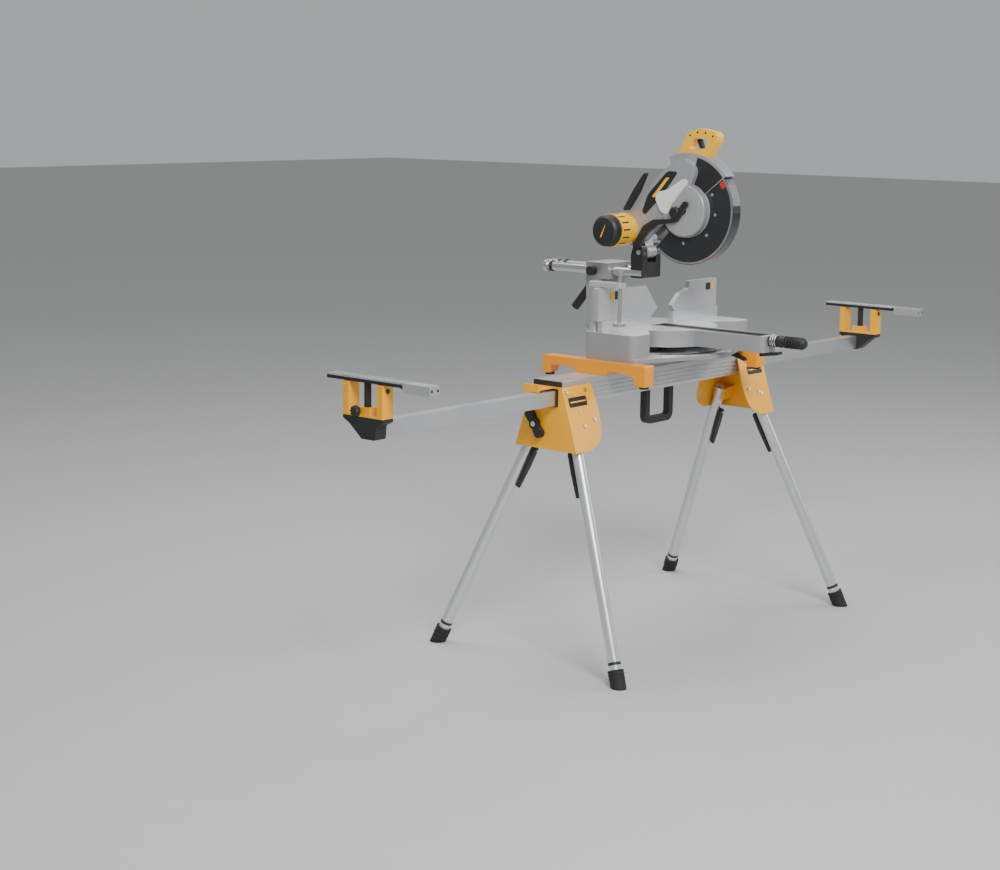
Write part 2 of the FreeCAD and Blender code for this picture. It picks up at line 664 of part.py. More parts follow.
# ---------------------------------------------------------------- turntable
def make_turntable():
    low = -d.table_thick
    disc = rod("table_disc", at(0, 0, low + 12), "table_radius", "table_thick - 12")
    arm = [
        (-d.arm_half, -100), (-d.arm_half, -d.table_radius, 10), (-36, -d.mitre_arm, 14),
        (36, -d.mitre_arm, 14), (d.arm_half, -d.table_radius, 10), (d.arm_half, -100),
    ]
    reach = pad("table_arm", "top", arm, "48", at(0, 0, -48))
    hub = rod("table_hub", at(0, 0, low - 2), "30", "16")
    tail = pad("table_tail", "top", [(-50, 60), (-44, 187.5), (44, 187.5), (50, 60)], "38",
               at(0, 0, -56))
    lug = rod_y("table_lug", 0, 168, 0, "48", "19.5")
    pin = rod_y("table_pin", 0, 170, 0, "9", "76")
    slot = box("table_slot", at(-22, -d.kerf_end, -26), "44", "kerf_end + 12", "30")
    seat = box("table_seat", at(-34, -d.kerf_end - 2, -5), "68", "kerf_end + 16", "10")
    under = box("table_trough", at(-30, -d.kerf_end + 12, -49), "60", "kerf_end - 100", "25")
    bore = rod("table_bore", at(0, 0, low - 4), "16.05", "32")
    grip_bore = rod_y("table_grip_bore", 0, -d.mitre_arm - 2, d.grip_z, "7.05", "40")
    node("turntable", cut("turntable", fuse("table_whole", disc, reach, hub, tail, lug, pin), slot, seat,
                          under, bore, grip_bore), SAW)
    plates = []
    for label, side in SIDES.items():
        start = min(side * d.kerf / 2, side * 33.7)
        plates.append(box("kerf_" + label, at(start, -d.kerf_end - 1, -5), "33.7 - kerf / 2",
                          "kerf_end + 12", "5"))
    node("kerf_plates", group("kerf_plates", *plates), SAW)
    grip = revolve_x("grip_turned", [
        (0, 0), (0, 15, 3), (14, 18, 4), (40, 13, 12), (84, 17, 14), (96, 12, 8), (96, 0),
    ], at(0, -d.mitre_arm - 24, d.grip_z, Z_AXIS, -90))
    collar = rod_y("grip_collar", 0, -d.mitre_arm - 26, d.grip_z, "17", "24")
    shaft = rod_y("grip_shaft", 0, -d.mitre_arm - 10, d.grip_z, "7", "44")
    node("mitre_grip", fuse("mitre_grip", grip, collar, shaft), SAW)
    axle = [(-d.mitre_arm + 25, -57, 2)]
    lever = [(-d.mitre_arm - 34, -44), (-d.mitre_arm - 34, -53, 3), (-d.mitre_arm + 28, -62, 3),
             (-d.mitre_arm + 28, -52)]
    node("detent_lever", pad("detent_lever", "side", lever, "24", at(-12),
                             holes=axle), SAW)


# ---------------------------------------------------------------- bevel housing and slide
BLOCK_NEAR = 160
BLOCK_FAR = 245


def make_bevel():
    disc = rod_y("bevel_disc", 0, 188, 0, "62", "30")
    tower = pad("bevel_tower", "front", [
        (-60, -30, 20), (60, -30, 20), (58, 60, 30), (62, 176, 14), (-62, 176, 14), (-58, 60, 30),
    ], "57", at(0, 188, 0))
    block = box("bevel_block", at(-62, BLOCK_NEAR, d.rail_height - 24), "124",
                str(BLOCK_FAR - BLOCK_NEAR), "48")
    bores = [
        rod_y("rail_bore_" + label, side * d.rail_spread, BLOCK_NEAR - 2, d.rail_height,
              "rail_radius + slide_fit", "110")
        for label, side in SIDES.items()
    ]
    stud = rod_y("bevel_stud_bore", 0, 180, 0, "9.05", "90")
    node("bevel_housing", cut("bevel_housing", fuse("bevel_whole", disc, tower, block), *bores,
                              stud), SAW)
    hub = rod_y("bevel_lever_hub", -20, 245.5, 106, "15", "16")
    grip = rod("bevel_lever_grip", at(-20, 258, 100, X_AXIS, -140.2), "13", "92")
    node("bevel_lever", fuse("bevel_lever", hub, grip), SAW)
    node("rail_knob", fuse("rail_knob", rod_x("rail_knob_disc", -92, 208, d.rail_height, "14", "20"),
                           rod_x("rail_knob_stud", -74, 208, d.rail_height, "4", "11.5")), SAW)


def make_slide():
    rails = [
        rod_y("rail_" + label, side * d.rail_spread, 46, d.rail_height, "rail_radius",
              "rail_rear - 52")
        for label, side in SIDES.items()
    ]
    tie = pad("rail_tie", "front", rectangle(-d.rail_spread - 18, d.rail_height - 19,
              d.rail_spread + 18, d.rail_height + 19, 18), "14", at(0, d.rail_rear - 14, 0),
              holes=[(side * d.rail_spread, d.rail_height, d.rail_radius) for side in (-1, 1)])
    node("slide_rails", group("slide_rails", *rails, tie), SAW)
    low = [(44, 137, 4), (86, 137, 6), (88, 206, 12), (78, 238, 16), (50, 240, 12), (44, 206, 12)]
    block = pad("pivot_body", "side", low, "92", at(-46))
    gap = pad("pivot_gap", "side", [(10, 184), (100, 184), (100, 260), (10, 260)], "44", at(-22))
    seats = [
        rod_y("rail_seat_" + label, side * d.rail_spread, 46, d.rail_height, "rail_radius", "60")
        for label, side in SIDES.items()
    ]
    pin_bore = rod_x("pivot_bore", -50, d.chop_y, d.chop_z, "8", "100")
    carrier = cut("pivot_carrier", block, gap, pin_bore, *seats)
    stud = rod_x("link_stud", -58, 66, 226, "4", "14")
    node("pivot_block", fuse("pivot_block", carrier, stud), SAW)
    node("chop_pin", rod_x("chop_pin", -46, d.chop_y, d.chop_z, "8", "92"), SAW)


# ---------------------------------------------------------------- head
def make_head():
    y = d.blade_y
    z = d.blade_z
    room = d.guard_radius + 3
    reach = room + 5
    wall = d.guard_half + 0.5
    outline = [
        (150, 236, 16), (146, 300, 30), (106, 330, 20), (54, 378, 40), (4, 440, 40), (-40, 476, 40),
        (-90, 500, 30), (-140, 470, 40), (-120, 420, 20), (-62, 330, 40), (-10, 300, 30), (60, 232),
    ]
    spar = pad("arm_spar", "side", outline, "19", at(-40))
    block = pad("arm_block", "side", outline, "42", at(-21))
    clear = rod_x("arm_guard_room", -21, y, z, str(room), "60")
    crown = pad("arm_crown", "side", ring_arc(y, z, reach, 20, 66, 142), str(2 * wall + 6),
                at(-wall - 3))
    hollow = pad("arm_hollow", "side", ring_arc(y, z, room, 10, 40, 150), str(2 * wall), at(-wall))
    case = rod_x("gear_case", -40, y, z, "78", str(40 - wall))
    boss = rod_x("gear_boss", -22, y, z, "79.95", "5.5")
    seat = rod_x("motor_seat", -40, d.motor_y, d.motor_z, "40", "20")
    near = fuse("arm_near", spar, cut("arm_rear", block, clear), cut("arm_cap", crown, hollow),
                case, boss, seat)
    ears_room = rod_x("arm_ears_room", -60, d.chop_y, d.chop_z, "44", "120")
    knuckle = rod_x("arm_knuckle", -21.6, d.chop_y, d.chop_z, "20", "43.2")
    neck = pad("arm_neck", "side", [(48, 220), (74, 212), (124, 262), (100, 300), (66, 276)], "40",
               at(-20))
    joined = fuse("arm_joined", cut("arm_trimmed", near, ears_room), knuckle, neck)
    bore = rod_x("arm_pin_bore", -40, d.chop_y, d.chop_z, "8.05", "80")
    spindle_bore = rod_x("arm_spindle_bore", -60, y, z, "arbor_radius + slide_fit", "60")
    motor_bore = rod_x("arm_motor_bore", -60, d.motor_y, d.motor_z, "8.05", "84")
    node("arm_casting", cut("arm_casting", joined, bore, spindle_bore, motor_bore), SAW)

    start = -d.motor_face + 30
    drum = ring_x("motor_drum", start, d.motor_y, d.motor_z, "motor_radius", "motor_radius - 4",
                  str(-40 - start))
    web = ring_x("motor_web", -46, d.motor_y, d.motor_z, "motor_radius - 2", "10", "6")
    node("motor_housing", fuse("motor_housing", drum, web), SAW)
    cap = revolve_x("motor_cap", [
        (0, 0), (0, d.cap_radius - 8, 7), (8, d.cap_radius, 5), (29.5, d.cap_radius + 2, 1),
        (29.5, d.cap_radius - 4), (5, d.cap_radius - 6, 4), (5, 0),
    ], at(-d.motor_face, d.motor_y, d.motor_z))
    node("motor_cap", cap, SAW)
    core = rod_x("rotor_core", start + 8, d.motor_y, d.motor_z, "30", "60")
    shaft = rod_x("rotor_shaft", start + 2, d.motor_y, d.motor_z, "8", str(-start + 12))
    node("motor_rotor", fuse("motor_rotor", core, shaft), SAW)


def make_handle():
    outline = [
        (-40, 480), (-88, 572, 18), (-130, 584, 24), (-190, 574, 16), (-190, 548, 10), (-156, 490),
    ]
    window = [(-92, 524, 6), (-108, 556, 10), (-162, 556, 8), (-148, 524, 6)]
    solid = pad("handle_solid", "side", outline, "34", at(-17), [window])
    seat = rod_x("handle_seat", -30, d.blade_y, d.blade_z, "guard_radius + 8", "60")
    node("top_handle", cut("top_handle", solid, seat), SAW)
    blade = [(-126, 554, 4), (-136, 528, 5), (-124, 526, 5), (-112, 553, 4)]
    node("trigger", pad("trigger", "side", blade, "12", at(-6), holes=[(-119, 549, 1.5)]), SAW)
    bar = [(44, 446, 12), (30, 456, 10), (60, 392, 60), (98, 338, 6), (116, 338, 6), (80, 396, 60)]
    bow = pad("carry_bow", "side", bar, "16", at(-56))
    node("carry_bar", bow, SAW)


def make_blade():
    y = d.blade_y
    z = d.blade_z
    teeth = 48
    points = []
    for i in range(teeth):
        step = 2 * math.pi / teeth
        for share, radius in ((0, d.blade_radius), (0.12, d.blade_radius),
                              (0.2, d.blade_radius - 8), (0.55, d.blade_radius - 7)):
            turn = (i + share) * step
            points.append((radius * math.cos(turn), radius * math.sin(turn)))
    disc = pad("blade", "side", points, "blade_thick", at(-d.blade_thick / 2, y, z),
               holes=[(0, 0, d.arbor_radius)])
    node("blade", disc, SAW)
    washer = 3
    half = d.blade_thick / 2
    shaft = rod_x("arbor_shaft", -44, y, z, "arbor_radius", "58")
    near = ring_x("arbor_near", -half - washer - 6, y, z, "26", "arbor_radius - 2", "9")
    far = ring_x("arbor_far", half, y, z, "26", "arbor_radius - 2", "8")
    bolt = rod_x("arbor_bolt", 12, y, z, "11", "10")
    node("arbor", fuse("arbor", shaft, near, far, bolt), SAW)


def make_guard():
    """The lower guard: two cheeks and a rim, carried on the boss of the gear case."""
    y = d.blade_y
    z = d.blade_z
    half = d.guard_half - 0.5
    wide = str(2 * half)
    sector = pad("guard_sector", "side", ring_arc(y, z, d.guard_radius, 84, 136, 314), wide,
                 at(-half))
    ring = ring_x("guard_ring", -half, y, z, "94", "80", wide)
    inside = rod_x("guard_inside", -half + 2.5, y, z, "guard_radius - 3", str(2 * half - 5))
    node("lower_guard", cut("lower_guard", fuse("guard_whole", sector, ring), inside), SAW)
    plate = [
        (-96, 440, 10), (-112, 428, 12), (-54, 360, 12), (-42, 332, 10), (-16, 340, 12),
        (4, 376, 20), (-2, 396, 20), (-42, 406, 20),
    ]
    node("guard_plate", pad("guard_plate", "side", plate, "5", at(-45)), SAW)
    link = [
        (y - 26, z + 22, 9), (y - 10, z + 30, 9), (y + 34, z - 26, 20), (2, 316, 20), (40, 296, 30),
        (78, 232, 9), (62, 214, 9), (26, 276, 30), (-10, 300, 20), (y + 14, z - 34, 14),
    ]
    node("guard_link", pad("guard_link", "side", link, "7.5", at(-54),
                           holes=[(66, 226, 4.05)]), SAW)


make_beam()
make_end_caps()
make_heads()
make_fasteners()
make_carry_handle()
make_legs()
make_arms()
make_arm_locks()
make_brackets()
make_base()
make_fences()
make_clamp()
make_turntable()
make_bevel()
make_slide()
make_head()
make_handle()
make_blade()
make_guard()
doc.recompute()

for item in doc.Objects:
    if "Invalid" in item.State or "Error" in item.State:
        raise RuntimeError(f"{item.Name} failed: {item.State}")
os.makedirs("parts", exist_ok=True)
for label, item in NODES.items():
    shape = item.Shape
    if shape.isNull() or not shape.isValid():
        raise RuntimeError(f"{label} has no valid shape")
    shape.exportStep(f"parts/{label}.step")
print(len(NODES), "parts written")
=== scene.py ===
import json
import math

import bpy
from mathutils import Matrix, Vector


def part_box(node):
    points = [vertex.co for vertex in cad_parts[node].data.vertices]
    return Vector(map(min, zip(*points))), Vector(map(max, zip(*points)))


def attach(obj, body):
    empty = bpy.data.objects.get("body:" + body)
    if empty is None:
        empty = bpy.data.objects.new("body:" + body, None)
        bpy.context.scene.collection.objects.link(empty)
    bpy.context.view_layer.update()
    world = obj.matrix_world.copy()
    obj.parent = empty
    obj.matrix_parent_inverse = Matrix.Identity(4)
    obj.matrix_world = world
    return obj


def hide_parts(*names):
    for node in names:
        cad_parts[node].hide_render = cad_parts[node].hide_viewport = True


# Looks of the mitre saw on its stand, in metres and in the CAD frame. The saw's own pieces are
# placed from the saw origin, which is the mitre pivot on the table surface.
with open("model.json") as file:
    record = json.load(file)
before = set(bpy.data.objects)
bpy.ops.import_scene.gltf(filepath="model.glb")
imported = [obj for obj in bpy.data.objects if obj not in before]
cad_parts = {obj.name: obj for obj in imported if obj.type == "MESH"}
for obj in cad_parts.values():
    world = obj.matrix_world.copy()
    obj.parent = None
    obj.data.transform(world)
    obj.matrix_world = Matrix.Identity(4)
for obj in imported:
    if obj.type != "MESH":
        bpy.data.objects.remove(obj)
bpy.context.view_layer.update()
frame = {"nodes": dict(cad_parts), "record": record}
NODES = frame["nodes"]


def joint_point(name):
    joint = [j for j in frame["record"]["behaviour"]["joints"] if j["name"] == name][0]
    return Vector(joint["pos_m"])


SAW = joint_point("mitre_turn")
BLADE = joint_point("blade_spin")
MOTOR = joint_point("rotor_spin")
LEFT = (-1, 0, 0)


# ---------------------------------------------------------------- materials
def shader(name, color, rough, metal=0.0, coat=0.0, grain=300.0, bump=0.12, mottle=0.06,
           stretch=(1, 1, 1), top=None, alpha=1.0, edge=0.0008):
    """A painted, cast or brushed surface: grain in the bump, mottle in colour and roughness, and
    optionally another colour where the surface faces up."""
    mat = bpy.data.materials.new(name)
    mat.use_nodes = True
    nodes = mat.node_tree.nodes
    links = mat.node_tree.links
    bsdf = nodes["Principled BSDF"]
    bsdf.inputs["Metallic"].default_value = metal
    bsdf.inputs["Coat Weight"].default_value = coat
    bsdf.inputs["Alpha"].default_value = alpha
    place = nodes.new("ShaderNodeTexCoord")
    scale = nodes.new("ShaderNodeMapping")
    scale.inputs["Scale"].default_value = stretch
    links.new(place.outputs["Object"], scale.inputs["Vector"])
    fine = nodes.new("ShaderNodeTexNoise")
    fine.inputs["Scale"].default_value = grain
    fine.inputs["Detail"].default_value = 4
    broad = nodes.new("ShaderNodeTexNoise")
    broad.inputs["Scale"].default_value = 9
    broad.inputs["Detail"].default_value = 5
    links.new(scale.outputs["Vector"], fine.inputs["Vector"])
    links.new(place.outputs["Object"], broad.inputs["Vector"])
    round_edge = nodes.new("ShaderNodeBevel")
    round_edge.samples = 4
    round_edge.inputs["Radius"].default_value = edge
    relief = nodes.new("ShaderNodeBump")
    relief.inputs["Strength"].default_value = bump
    relief.inputs["Distance"].default_value = 0.0006
    links.new(fine.outputs["Fac"], relief.inputs["Height"])
    links.new(round_edge.outputs["Normal"], relief.inputs["Normal"])
    links.new(relief.outputs["Normal"], bsdf.inputs["Normal"])
    worn = nodes.new("ShaderNodeMapRange")
    worn.inputs["To Min"].default_value = rough - 0.07
    worn.inputs["To Max"].default_value = rough + 0.1
    links.new(broad.outputs["Fac"], worn.inputs["Value"])
    links.new(worn.outputs["Result"], bsdf.inputs["Roughness"])
    tint = nodes.new("ShaderNodeMix")
    tint.data_type = "RGBA"
    tint.inputs["A"].default_value = (*[c * (1 - mottle) for c in color], 1)
    tint.inputs["B"].default_value = (*[min(1, c * (1 + mottle)) for c in color], 1)
    links.new(broad.outputs["Fac"], tint.inputs["Factor"])
    last = tint.outputs["Result"]
    if top:
        facing = nodes.new("ShaderNodeNewGeometry")
        split = nodes.new("ShaderNodeSeparateXYZ")
        up = nodes.new("ShaderNodeMath")
        up.operation = "GREATER_THAN"
        up.inputs[1].default_value = 0.9
        mix = nodes.new("ShaderNodeMix")
        mix.data_type = "RGBA"
        mix.inputs["B"].default_value = (*top, 1)
        links.new(facing.outputs["True Normal"], split.inputs["Vector"])
        links.new(split.outputs["Z"], up.inputs[0])
        links.new(up.outputs["Value"], mix.inputs["Factor"])
        links.new(last, mix.inputs["A"])
        last = mix.outputs["Result"]
    links.new(last, bsdf.inputs["Base Color"])
    return mat


YELLOW = shader("yellow paint", (0.95, 0.42, 0.0), 0.36, coat=0.25, grain=420, bump=0.1)
ORANGE = shader("bracket paint", (0.9, 0.31, 0.0), 0.38, coat=0.2, grain=420, bump=0.1)
MOULDED = shader("yellow plastic", (0.98, 0.5, 0.0), 0.34, coat=0.3, grain=900, bump=0.08)
SILVER = shader("anodised aluminium", (0.62, 0.64, 0.66), 0.34, metal=0.85, grain=260,
                stretch=(0.06, 1, 1), bump=0.16)
TUBE = shader("leg tube", (0.66, 0.68, 0.7), 0.3, metal=0.75, grain=240, stretch=(1, 1, 0.05),
              bump=0.14)
CAST = shader("painted casting", (0.33, 0.335, 0.345), 0.42, metal=0.35, grain=500, bump=0.3,
              top=(0.55, 0.555, 0.565))
ARM = shader("arm paint", (0.36, 0.365, 0.375), 0.38, metal=0.35, coat=0.2, grain=520, bump=0.22)
MACHINED = shader("machined aluminium", (0.66, 0.665, 0.675), 0.3, metal=0.7, grain=200,
                  stretch=(0.1, 1, 1), bump=0.18)
STEEL = shader("ground steel", (0.6, 0.6, 0.61), 0.24, metal=1.0, grain=320, stretch=(1, 0.1, 1),
               bump=0.12, edge=0.0004)
ZINC = shader("zinc plate", (0.64, 0.64, 0.62), 0.28, metal=1.0, grain=700, edge=0.0003)
BLACK = shader("black plastic", (0.014, 0.014, 0.016), 0.5, grain=1100, bump=0.35, mottle=0.2)
RUBBER = shader("black rubber", (0.012, 0.012, 0.012), 0.72, grain=800, bump=0.45, mottle=0.25)
DARK = shader("black enamel", (0.02, 0.02, 0.022), 0.36, metal=0.2, coat=0.2, grain=600, bump=0.2)
SMOKE = shader("smoked guard", (0.02, 0.021, 0.024), 0.22, coat=0.5, grain=150, bump=0.04,
               alpha=0.9)
WHITE = shader("white plastic", (0.74, 0.74, 0.73), 0.35, coat=0.2, grain=900, bump=0.06)
RED = shader("red warning plate", (0.55, 0.02, 0.02), 0.4, grain=700, edge=0.0002)
# Painted highlight: a brighter, brushed-looking colour put on the turntable's outer wall, standing
# in for the light along its rim.
RIM_HIGHLIGHT = shader("painted rim highlight", (0.7, 0.7, 0.71), 0.26, metal=0.9, grain=260, stretch=(1, 1, 0.1),
                bump=0.1)
PALE = shader("pale disc", (0.4, 0.405, 0.41), 0.34, metal=0.3, grain=400, bump=0.14)

FINISH = {
    "beam": SILVER, "beam_end_caps": BLACK, "head_left": YELLOW, "head_right": YELLOW,
    "stand_fasteners": ZINC, "carry_handle": BLACK, "mount_brackets": ORANGE,
    "bracket_pads": RUBBER, "base_casting": CAST, "fixed_fence": MACHINED, "mitre_scale": STEEL,
    "clamp_arm": MACHINED, "clamp_screw": ZINC, "fence_left": MACHINED, "fence_right": MACHINED,
    "turntable": CAST, "kerf_plates": BLACK, "mitre_grip": BLACK, "detent_lever": DARK,
    "bevel_housing": CAST, "bevel_lever": BLACK, "rail_knob": BLACK, "slide_rails": STEEL,
    "pivot_block": DARK, "chop_pin": ZINC, "arm_casting": ARM, "motor_housing": MOULDED,
    "motor_cap": BLACK, "motor_rotor": STEEL, "top_handle": MOULDED, "trigger": BLACK,
    "carry_bar": BLACK, "guard_plate": WHITE, "lower_guard": SMOKE, "guard_link": DARK,
    "blade": STEEL, "arbor": ZINC,
}
PREFIX = (
    ("leg_lever", BLACK), ("leg_", TUBE), ("arm_lock", BLACK), ("support_knob", BLACK),
    ("bracket_lever", BLACK), ("support_bracket", YELLOW), ("support_bar", SILVER),
    ("stop_plate", SILVER), ("arm_", SILVER),
)


def finish_of(name):
    return FINISH.get(name) or [mat for start, mat in PREFIX if name.startswith(start)][0]


# ---------------------------------------------------------------- mesh kit
def piece(title, points, faces, body, mat, bevel=0.0, smooth=False):
    name = title.replace(" ", "_")
    mesh = bpy.data.meshes.new(name)
    mesh.from_pydata(points, [], faces)
    mesh.validate()
    obj = bpy.data.objects.new(name, mesh)
    bpy.context.scene.collection.objects.link(obj)
    mesh.materials.append(mat)
    for face in mesh.polygons:
        face.use_smooth = smooth
    if bevel:
        edge = obj.modifiers.new("edges", "BEVEL")
        edge.width = bevel
        edge.segments = 3
        edge.limit_method = "ANGLE"
        edge.angle_limit = math.radians(35)
    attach(obj, body)
    return obj


def plate(name, outline, depth, matrix, body, mat, bevel=0.0006):
    """A flat outline in the matrix's XY plane, from its plane to depth along its Z."""
    count = len(outline)
    points = [matrix @ Vector((x, y, z)) for z in (0, depth) for x, y in outline]
    sides = [(i, (i + 1) % count, count + (i + 1) % count, count + i) for i in range(count)]
    faces = [tuple(reversed(range(count))), tuple(range(count, 2 * count))] + sides
    return piece(name, points, faces, body, mat, bevel)


def turned(name, profile, matrix, body, mat, steps=48, lobes=0, depth=0.0):
    """A profile of (along, radius) turned about the matrix's Z axis, with optional grip lobes."""
    points = []
    for along, radius in profile:
        for i in range(steps):
            turn = 2 * math.pi * i / steps
            wave = 1 - depth * (0.5 - 0.5 * math.cos(lobes * turn)) if lobes else 1
            spot = Vector((radius * wave * math.cos(turn), radius * wave * math.sin(turn), along))
            points.append(matrix @ spot)
    faces = []
    for ring in range(len(profile) - 1):
        for i in range(steps):
            j = (i + 1) % steps
            low = ring * steps
            high = low + steps
            faces.append((low + i, low + j, high + j, high + i))
    faces.append(tuple(reversed(range(steps))))
    faces.append(tuple(range(len(points) - steps, len(points))))
    return piece(name, points, faces, body, mat, 0.0005, smooth=True)


def facing(axis, spot):
    """A frame at a spot with Z along axis and, for sideways axes, Y up."""
    z = Vector(axis).normalized()
    up = Vector((0, 0, 1)) if abs(z.z) < 0.9 else Vector((0, 1, 0))
    x = up.cross(z).normalized()
    y = z.cross(x)
    turn = Matrix((x, y, z)).transposed().to_4x4()
    return Matrix.Translation(Vector(spot)) @ turn


def side_frame(x):
    """Local (y, z) of the saw's side view becomes a plate's outline, at saw x, growing to -X."""
    turn = Matrix(((0, 0, -1), (1, 0, 0), (0, 1, 0))).to_4x4()
    return Matrix.Translation(SAW + Vector((x, 0, 0))) @ turn


def front_frame(y):
    """Local (x, z) of the saw's front view becomes a plate's outline, at saw y, growing to -Y."""
    turn = Matrix(((1, 0, 0), (0, 0, -1), (0, 1, 0))).to_4x4()
    return Matrix.Translation(SAW + Vector((0, y, 0))) @ turn


def smooth_outline(points, radius, steps=5):
    """The outline with each corner rounded, by less than the radius where its sides are short."""
    out = []
    for i, here in enumerate(points):
        spot = Vector(here)
        before = Vector(points[i - 1]) - spot
        after = Vector(points[(i + 1) % len(points)]) - spot
        reach = min(radius, before.length * 0.45, after.length * 0.45)
        start = spot + before.normalized() * reach
        end = spot + after.normalized() * reach
        for k in range(steps + 1):
            t = k / steps
            mix = start * (1 - t) ** 2 + spot * 2 * t * (1 - t) + end * t ** 2
            out.append((mix.x, mix.y))
    return out


def scaled(points):
    """An outline given in millimetres, in metres."""
    return [(x / 1000, y / 1000) for x, y in points]


def rounded_box(left, low, right, high, radius):
    return smooth_outline([(left, low), (right, low), (right, high), (left, high)], radius)


# ---------------------------------------------------------------- CAD nodes
ARM_PLUG_X = 1.2049
BAR_TOP_SHEET = 0.8938
RUBBER_TOP = 0.056
RIM_RADIUS = 0.1675
RIM_FRONT = 0.16

# Nodes of two finishes, whole or without their last word: the second one and where it is. The
# turntable's second colour is a painted highlight: brighter on its outer wall below the table,
# where light catches the rim.
SECOND = {
    "arm": (BLACK, lambda spot: abs(spot.x) > ARM_PLUG_X),
    "support_bar": (BLACK, lambda spot: spot.z < BAR_TOP_SHEET),
    "fence_left": (PALE, lambda spot: spot.y > SAW.y + 0.001),
    "fence_right": (PALE, lambda spot: spot.y > SAW.y + 0.001),
    "turntable": (RIM_HIGHLIGHT, lambda spot: spot.z < SAW.z - 0.001 and
                  (spot.xy - SAW.xy).length > RIM_RADIUS and spot.y > SAW.y - RIM_FRONT),
}
for name, obj in NODES.items():
    mat = finish_of(name)
    if len(obj.material_slots) == 0:
        obj.data.materials.append(mat)
    for slot in obj.material_slots:
        slot.material = mat
    second = SECOND.get(name) or SECOND.get(name.rsplit("_", 1)[0])
    if name.startswith("leg_") and not name.startswith("leg_lever"):
        second = (RUBBER, lambda spot: spot.z < RUBBER_TOP)
    if second:
        obj.data.materials.append(second[0])
        for face in obj.data.polygons:
            if second[1](face.center):
                face.material_index = len(obj.data.materials) - 1


# ---------------------------------------------------------------- saw head
# Saw x of the left faces that carry plates.
SPAR_FACE = -0.0402
CROWN_FACE = -0.0233
GUARD_FACE = -0.0196
CAP_FACE = -0.1452
BLADE_AT = BLADE - SAW


def around_blade(radius, degrees):
    """Saw (y, z) around the blade's axis: 0 degrees is to the rear and 90 is up."""
    angle = math.radians(degrees)
    return BLADE_AT.y + radius * math.cos(angle), BLADE_AT.z + radius * math.sin(angle)


leaf = [(-74, 458), (-36, 460), (34, 388), (54, 336), (42, 328), (-18, 386)]
plate("arm insert", smooth_outline(scaled(leaf), 0.012), 0.0014, side_frame(SPAR_FACE), "head",
      BLACK)
stripe = [(-44, 440), (-32, 440), (18, 382), (8, 380)]
plate("arm insert stripe", smooth_outline(scaled(stripe), 0.003), 0.0008,
      side_frame(SPAR_FACE - 0.0015), "head", MOULDED, 0.0002)
hub = SAW + Vector((SPAR_FACE, BLADE_AT.y, BLADE_AT.z))
turned("gear case cover", [(0, 0.0745), (0.0012, 0.0755), (0.003, 0.074), (0.0034, 0.05),
                           (0.0024, 0.02), (0.0024, 0.001)], facing(LEFT, hub), "head", PALE)
turned("guard cap", [(0, 0.017), (0.008, 0.0165), (0.0105, 0.014), (0.0112, 0.004),
                     (0.0112, 0.0005)], facing(LEFT, hub + Vector((-0.005, 0.026, -0.006))),
       "head", BLACK)

# The rivets and ribs stand out less than the gap to the upper guard, which they turn under.
RIVET_RING = 0.098
for turn in (150, 185, 225, 277):
    spot = SAW + Vector((GUARD_FACE, *around_blade(RIVET_RING, turn)))
    turned(f"guard rivet {turn}", [(0, 0.0045), (0.0004, 0.0044), (0.0006, 0.0026),
                                   (0.0006, 0.0004)], facing(LEFT, spot), "lower_guard", ZINC,
           steps=20)
RIB_START = 140
RIB_STEP = 2.05
RIB_HALF = 0.62
RIB_INNER = 0.1525
RIB_OUTER = 0.1585
for i in range(84):
    turn = RIB_START + i * RIB_STEP
    rim = [around_blade(RIB_INNER, turn - RIB_HALF), around_blade(RIB_OUTER, turn - RIB_HALF * 0.4),
           around_blade(RIB_OUTER, turn + RIB_HALF), around_blade(RIB_INNER, turn + RIB_HALF)]
    plate(f"guard rib {i}", rim, 0.0007, side_frame(GUARD_FACE), "lower_guard", PALE, 0.0)
skirt = [around_blade(0.0805, turn) for turn in range(102, 142, 3)]
skirt += [around_blade(0.158, turn) for turn in range(141, 101, -3)]
plate("guard skirt", skirt, 0.0012, side_frame(CROWN_FACE), "head", DARK, 0.0002)
mark = [around_blade(0.137, 143), around_blade(0.151, 143), around_blade(0.151, 151),
        around_blade(0.137, 151)]
plate("guard mark", mark, 0.0008, side_frame(GUARD_FACE), "lower_guard", RED, 0.0002)

cap_face = Vector((SAW.x + CAP_FACE, MOTOR.y, MOTOR.z))
turned("motor cap dish", [(0, 0.033), (0.0012, 0.0335), (0.002, 0.031), (0.0012, 0.012),
                          (0.001, 0.0005)], facing(LEFT, cap_face), "head", BLACK)
badge = smooth_outline([(-0.021, -0.004), (0.017, 0.004), (0.021, 0.004), (-0.017, -0.006)], 0.002)
plate("motor cap badge", [(x, y * 1.6) for x, y in badge], 0.0008,
      facing(LEFT, cap_face + Vector((-0.0021, 0, 0))) @ Matrix.Rotation(0.8, 4, "Z"),
      "head", MOULDED, 0.0002)
DRUM_MIDDLE = 0.094
DRUM_RADIUS = 0.0498
vent = rounded_box(-0.0022, -0.016, 0.0022, 0.016, 0.002)
for i in range(9):
    angle = math.radians(20 + i * 26)
    out = Vector((0, math.cos(angle), math.sin(angle)))
    spot = Vector((SAW.x - DRUM_MIDDLE, MOTOR.y, MOTOR.z)) + out * DRUM_RADIUS
    turn = facing(out, spot) @ Matrix.Rotation(math.pi / 2, 4, "Z")
    plate(f"motor vent {i}", vent, 0.0007, turn, "head", BLACK, 0.0)
HANDLE_HALF = 0.0171
for y, z in ((-96, 564), (-122, 573), (-150, 572), (-176, 563)):
    for side in (-1, 1):
        spot = SAW + Vector((side * HANDLE_HALF, y / 1000, z / 1000))
        turned(f"handle rivet {y} {side}", [(0, 0.0032), (0.0008, 0.003), (0.0012, 0.0008)],
               facing((side, 0, 0), spot), "head", BLACK, steps=16)

